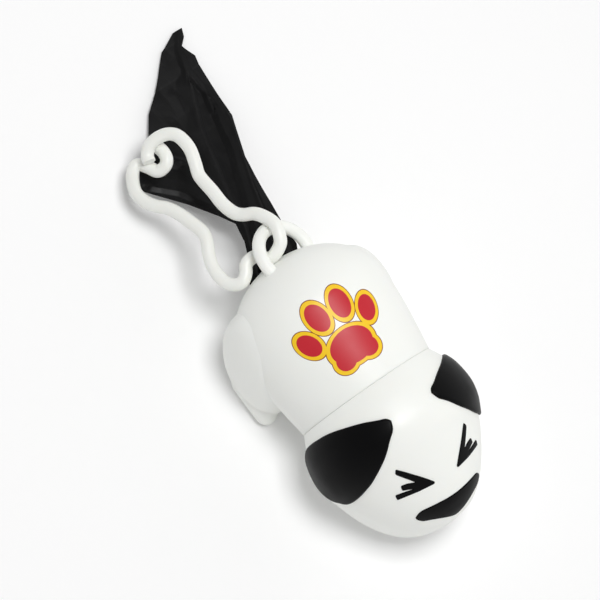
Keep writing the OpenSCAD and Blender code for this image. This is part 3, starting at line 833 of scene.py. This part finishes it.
springing = rod("clip_hook_side", clip_path[split:], clip_size[split:], CLIP_D, clip_white,
                clip_place)
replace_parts(springing, "clip_arm")
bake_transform(springing)

# ---- Roll of bags ----
# Thin black film wound on a plain tube, which lies loose in the case. Its end shows the
# edges of the turns.
ROLL_R = 15.4
ROLL_LEN = 54.5
CORE_R = 6.0
CORE_WALL = 1.0
ROLL_GAP = 0.95
ROLL_FRONT = -20.5
ROLL_TURNS = 22
TURNS_INSET = 0.4         # the outermost and innermost turns' distance from the winding's rims
TURNS_EDGE = 0.16         # radius of a film edge
roll_drop = SPIGOT_R - SPIGOT_WALL - ROLL_R - ROLL_GAP


def tube(name, outer, inner, front, length, drop, sides=96, bevel=0.25):
    """A tube along the case's axis with a small bevel on its rims."""
    back = front + length
    rows = [(front + bevel, outer), (front, outer - bevel), (front, inner + bevel),
            (front + bevel, inner), (back - bevel, inner), (back, inner + bevel),
            (back, outer - bevel), (back - bevel, outer), (front + bevel, outer)]
    points = turned(rows, sides) - [0, 0, drop]
    return new_piece(name, in_frame(points), rings_to_faces(len(rows), sides), sharp=35)


def film_black_material(name, crumple):
    """Thin black film: nearly smooth, with a soft sheen and small wrinkles that run along it."""
    material, tree, place = bare_material(name)
    stretch = add(tree, "ShaderNodeMapping", links={"Vector": place})
    stretch.inputs["Scale"].default_value = (1.0, 0.35, 1.0)
    wrinkle = add(tree, "ShaderNodeTexNoise", links={"Vector": stretch.outputs["Vector"]},
                  Scale=260.0, Detail=5.0, Distortion=0.6)
    ridge = reckon(tree, "ABSOLUTE", reckon(tree, "SUBTRACT", wrinkle.outputs["Fac"], 0.5))
    bump = add(tree, "ShaderNodeBump", links={"Height": ridge}, Strength=crumple, Distance=0.0006)
    tone = add(tree, "ShaderNodeValToRGB", links={"Fac": wrinkle.outputs["Fac"]})
    tone.color_ramp.elements[0].position = 0.3
    tone.color_ramp.elements[0].color = linear(6, 6, 7)
    tone.color_ramp.elements[1].position = 0.75
    tone.color_ramp.elements[1].color = linear(11, 11, 12)
    gloss = add(tree, "ShaderNodeMapRange", links={"Value": wrinkle.outputs["Fac"]},
                From_Min=0.3, From_Max=0.7, To_Min=0.34, To_Max=0.5)
    skin = add(tree, "ShaderNodeBsdfPrincipled",
               links={"Base Color": tone.outputs["Color"], "Roughness": gloss.outputs["Result"],
                      "Normal": bump.outputs["Normal"]}, IOR=1.5, Specular_IOR_Level=0.2)
    add(tree, "ShaderNodeOutputMaterial", links={"Surface": skin.outputs["BSDF"]})
    return material


def wound_edge_tree():
    """A flat spiral of film edges, swept with a fine round section."""
    tree, given = opened_tree("wound_edge", [("Turns", "Float"), ("Inner radius", "Float"),
                                             ("Outer radius", "Float"), ("Edge", "Float")])
    coil = add(tree, "GeometryNodeCurveSpiral",
               links={"Rotations": given["Turns"], "Start Radius": given["Inner radius"],
                      "End Radius": given["Outer radius"]}, Resolution=64, Height=0.0)
    ring = add(tree, "GeometryNodeCurvePrimitiveCircle", links={"Radius": given["Edge"]},
               Resolution=6)
    return swept_finish(tree, given, coil.outputs["Curve"], ring.outputs["Curve"])


film_black = film_black_material("film_black", 0.25)
core_grey = satin_plastic("core_grey", linear(150, 146, 138), linear(140, 136, 128), 0.6, soft=0.0)
roll = tube("bag_winding", ROLL_R, CORE_R + 0.02, ROLL_FRONT, ROLL_LEN, roll_drop)
roll.data.materials.append(film_black)
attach(roll, "roll")
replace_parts(roll, "bag_roll")
core = tube("core_tube", CORE_R, CORE_R - CORE_WALL, ROLL_FRONT, ROLL_LEN, roll_drop)
core.data.materials.append(core_grey)
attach(core, "roll")
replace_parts(core, "roll_core")
edge_tree = wound_edge_tree()
for name, s, facing in (("front_turns", ROLL_FRONT, 90),
                        ("rear_turns", ROLL_FRONT + ROLL_LEN, -90)):
    turns_piece = shown(name, bpy.data.meshes.new(name))
    wind = turns_piece.modifiers.new("wind", "NODES")
    wind.node_group = edge_tree
    set_input(wind, "Turns", float(ROLL_TURNS))
    set_input(wind, "Inner radius", (CORE_R + TURNS_INSET) * MM)
    set_input(wind, "Outer radius", (ROLL_R - TURNS_INSET) * MM)
    set_input(wind, "Edge", TURNS_EDGE * MM)
    set_input(wind, "Finish", film_black)
    baked(turns_piece)
    turns_piece.data.transform(Matrix.Translation(Vector(in_frame([0, s, -roll_drop])))
                               @ Matrix.Rotation(np.radians(facing), 4, "X"))
    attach(turns_piece, "roll")

# ---- Next bag ----
# The end of the film, drawn out through the slot. It leaves the slot gathered, fans out in
# creases that spread from there, and slopes to just over the ground, one corner furthest out.
FILM_THICK = 0.16
FILM_CLEAR = 0.1          # least height of the film over the ground
FILM_GRID = (190, 110)
FILM_CREASE = 22          # folds sharper than this many degrees stay crisp
# Distance behind the seam, left edge, right edge and height over the ground of the film
FILM_ROWS = [[37.5, -7.4, 7.4, 15.3], [43.3, -7.4, 9.6, 15.6], [45.7, -5.8, 11.0, 15.4],
             [51.1, -2.3, 11.8, 13.7], [54.2, -0.7, 12.1, 12.8], [60.1, 0.9, 13.3, 11.0],
             [64.6, -1.1, 14.1, 9.5], [69.2, -3.9, 15.0, 8.1], [72.6, -6.0, 15.8, 7.1],
             [75.4, -8.2, 16.3, 6.5], [82.4, -13.7, 19.0, 5.0], [83.5, -14.5, 19.4, 4.8],
             [87.7, -11.5, 21.1, 4.1], [88.5, -10.8, 21.15, 4.0], [95.2, -2.8, 21.7, 3.0],
             [96.2, -2.1, 21.8, 2.9], [100.9, 1.4, 22.2, 2.4], [105.1, 6.7, 22.6, 2.0],
             [105.5, 7.1, 22.6, 2.0], [108.4, 10.1, 23.3, 1.8], [110.7, 12.2, 22.4, 1.6],
             [112.7, 14.1, 21.7, 1.5], [114.3, 15.7, 23.5, 1.4], [114.8, 17.0, 24.0, 1.4],
             [117.3, 21.8, 25.0, 1.3]]
# Creases as points (x, distance behind the seam), then how high the film stands there, and how
# far it slopes down on each side, in mm
FILM_FOLDS = [
    ([(-3.5, 40), (1.0, 48), (7.2, 62), (14.7, 78.9), (17.6, 90)], 1.0, 1.6, 5.5),
    ([(1.5, 40), (5.5, 50), (9.8, 60), (12.6, 68), (19.0, 84), (20.2, 88)], 0.8, 3.5, 1.6),
    ([(6.0, 41), (8.6, 50), (11.0, 60), (13.6, 69)], 0.6, 1.4, 1.8),
    ([(-6.0, 41), (-1.6, 50), (2.2, 58), (2.8, 62), (7.0, 76), (10.7, 89), (16.5, 101.7)],
     0.9, 4.0, 1.3),
    ([(2.0, 60), (-0.5, 68), (-5.5, 77), (-11.0, 82.5)], 0.5, 1.5, 3.5),
    ([(4.0, 63), (4.5, 74), (1.0, 84), (-5.0, 90)], 0.6, 3.0, 1.2),
    ([(11.3, 101.4), (9.8, 92.5), (6.5, 80)], 0.3, 1.0, 2.6),
    ([(18.3, 106), (18.9, 97.6), (17.2, 91.5)], 0.6, 1.6, 1.2),
    ([(18.9, 97.6), (20.2, 86.4)], 0.5, 2.4, 1.0),
    ([(22.6, 116), (19.6, 111), (18.3, 106), (14.0, 100)], 0.6, 1.6, 1.4)]
FILM_SAG = 0.6            # how far the film sags below its level between the creases


def crease(points, path, left, right):
    """Height of 1 on a crease that falls straight to 0 at a distance on each side."""
    path = np.array(path, float)
    best = np.full(len(points), 1e9)
    side = np.zeros(len(points))
    for a, b in zip(path[:-1], path[1:]):
        run = b - a
        t = np.clip(((points - a) @ run) / (run @ run), 0, 1)
        off = points - (a + t[:, None] * run)
        far = np.hypot(*off.T)
        near = far < best
        best = np.where(near, far, best)
        side = np.where(near, np.sign(run[0] * off[:, 1] - run[1] * off[:, 0]), side)
    return np.clip(1 - best / np.where(side > 0, left, right), 0, 1)


def film_mesh():
    """The film as a grid between its two edges, folded along its creases."""
    rows, columns = FILM_GRID
    table = np.array(FILM_ROWS)
    s = np.unique(np.concatenate([np.linspace(table[0, 0], table[-1, 0], rows), table[:, 0]]))
    left, right, level = (np.interp(s, table[:, 0], table[:, c]) for c in (1, 2, 3))
    u = np.linspace(0, 1, columns)
    x = left[:, None] + (right - left)[:, None] * u
    flat = np.stack([x, np.broadcast_to(s[:, None], x.shape)], -1).reshape(-1, 2)
    height = np.broadcast_to(level[:, None], x.shape).ravel() - FILM_SAG
    lift = np.zeros(len(flat))
    for path, size, on_left, on_right in FILM_FOLDS:
        lift = np.maximum(lift, size * crease(flat, path, on_left, on_right))
    narrow = np.clip(((right - left) / 14)[:, None] + 0 * u, 0.25, 1).ravel()
    height = height + lift * narrow
    i, j = np.meshgrid(np.arange(len(s) - 1), np.arange(columns - 1), indexing="ij")
    a = (i * columns + j).ravel()
    faces = np.stack([a, a + 1, a + 1 + columns, a + columns], -1).tolist()
    return np.column_stack([flat, height - AXIS_Z]), faces


film_points, film_faces = film_mesh()
film_at = in_frame(film_points)
film_at[:, 2] = np.maximum(film_at[:, 2], FILM_CLEAR * MM)
film = new_piece("drawn_bag", film_at, film_faces)
body = film.modifiers.new("film", "SOLIDIFY")
body.thickness = FILM_THICK * MM
body.offset = 1
baked(film)
film.data.shade_smooth()
film.data.set_sharp_from_angle(angle=np.radians(FILM_CREASE))
film.data.materials.clear()
film.data.materials.append(film_black)
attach(film, "case")
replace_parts(film, "next_bag")

# ---- Studio ----
# A white floor under the case, pale walls that give most of the light, one small lamp above
# and to the right of the camera's line, and the camera that looks down on the back.
CAMERA_ROLL = 19.0        # the case's turn about its own axis, away from straight above
CAMERA_PITCH = 4.4        # the camera's lean towards the head
CAMERA_FAR = 0.9
VIEW_MM = 165.6           # width of the picture at the case's axis
SENSOR = 36.0
TAIL_RIGHT, TAIL_UP = -0.573, 0.8197   # direction of the tail in the picture
CENTRE = (-0.44, 31.37, -0.15)         # middle of the picture: x, behind the seam, over the axis
SKY_WALLS, SKY_TOP = 0.92, 0.12        # how bright the pale walls and the ceiling are
SKY_SIDE = 0.35                        # how much brighter the wall to the right is
FLOOR_GLOW = 0.05                      # lift of the floor's white as the camera sees it
FLOOR_HALF = 3                         # half the floor's side, in metres
PAPER_WHITE = 0.97
LAMP_SIDE, LAMP_POWER, LAMP_FAR = 0.28, 3.7, 0.8   # metres, watts, metres
LAMP_UP, LAMP_RIGHT = 0.3, 0.24        # its lean from the camera's line, in the picture

roll_a, pitch = np.radians(CAMERA_ROLL), np.radians(CAMERA_PITCH)
back = np.array([-np.sin(roll_a) * np.cos(pitch), -np.sin(pitch), np.cos(roll_a) * np.cos(pitch)])
tailward = np.array([0, 1, 0]) - back * back[1]
tailward /= np.linalg.norm(tailward)
across = np.cross(tailward, back)
right = TAIL_RIGHT * tailward + TAIL_UP * across
up = TAIL_UP * tailward - TAIL_RIGHT * across
camera = bpy.data.cameras.new("camera")
camera.sensor_width = SENSOR
camera.lens = SENSOR * CAMERA_FAR / (VIEW_MM * MM)
camera_piece = shown("camera", camera)
eye_at = in_frame(CENTRE) + back * CAMERA_FAR
camera_piece.matrix_world = Matrix([[right[n], up[n], back[n], eye_at[n]] for n in range(3)]
                                   + [[0, 0, 0, 1]])
bpy.context.scene.camera = camera_piece

floor_mesh = bpy.data.meshes.new("floor")
corners = [(x * FLOOR_HALF, y * FLOOR_HALF, 0) for x, y in ((-1, -1), (1, -1), (1, 1), (-1, 1))]
floor_mesh.from_pydata(corners, [], [(0, 1, 2, 3)])
floor = shown("floor", floor_mesh)
paper = bpy.data.materials.new("white_paper")
paper.use_nodes = True
paper_skin = paper.node_tree.nodes["Principled BSDF"]
paper_skin.inputs["Base Color"].default_value = (PAPER_WHITE, PAPER_WHITE, PAPER_WHITE, 1)
paper_skin.inputs["Roughness"].default_value = 0.9
paper_skin.inputs["Specular IOR Level"].default_value = 0.1
paper_skin.inputs["Emission Color"].default_value = (1, 1, 1, 1)
seen = add(paper.node_tree, "ShaderNodeLightPath").outputs["Is Camera Ray"]
paper.node_tree.links.new(reckon(paper.node_tree, "MULTIPLY", seen, FLOOR_GLOW),
                          paper_skin.inputs["Emission Strength"])
floor_mesh.materials.append(paper)

lamp_data = bpy.data.lights.new("overhead", "AREA")
lamp_data.shape = "RECTANGLE"
lamp_data.size = LAMP_SIDE
lamp_data.size_y = LAMP_SIDE
lamp_data.energy = LAMP_POWER
lamp = shown("overhead", lamp_data)
lamp_way = Vector(back + LAMP_UP * up + LAMP_RIGHT * right).normalized()
lamp.location = lamp_way * LAMP_FAR
lamp.rotation_mode = "QUATERNION"
lamp.rotation_quaternion = lamp_way.to_track_quat("Z", "Y")

world = bpy.data.worlds.new("studio")
bpy.context.scene.world = world
world.use_nodes = True
sky_tree = world.node_tree
way = add(sky_tree, "ShaderNodeTexCoord").outputs["Generated"]
height = add(sky_tree, "ShaderNodeSeparateXYZ", links={"Vector": way}).outputs["Z"]
level = reckon(sky_tree, "ADD", reckon(sky_tree, "MULTIPLY", reckon(
    sky_tree, "ABSOLUTE", height), SKY_TOP - SKY_WALLS), SKY_WALLS)
facing = add(sky_tree, "ShaderNodeVectorMath", {"operation": "DOT_PRODUCT"}, {"Vector": way})
facing.inputs[1].default_value = tuple(right)
side = reckon(sky_tree, "ADD",
              reckon(sky_tree, "MULTIPLY", facing.outputs["Value"], SKY_SIDE), 1.0)
sky = sky_tree.nodes["Background"]
sky.inputs["Color"].default_value = (1, 1, 1, 1)
sky_tree.links.new(reckon(sky_tree, "MULTIPLY", level, side), sky.inputs["Strength"])

bpy.context.scene.view_settings.view_transform = "Standard"
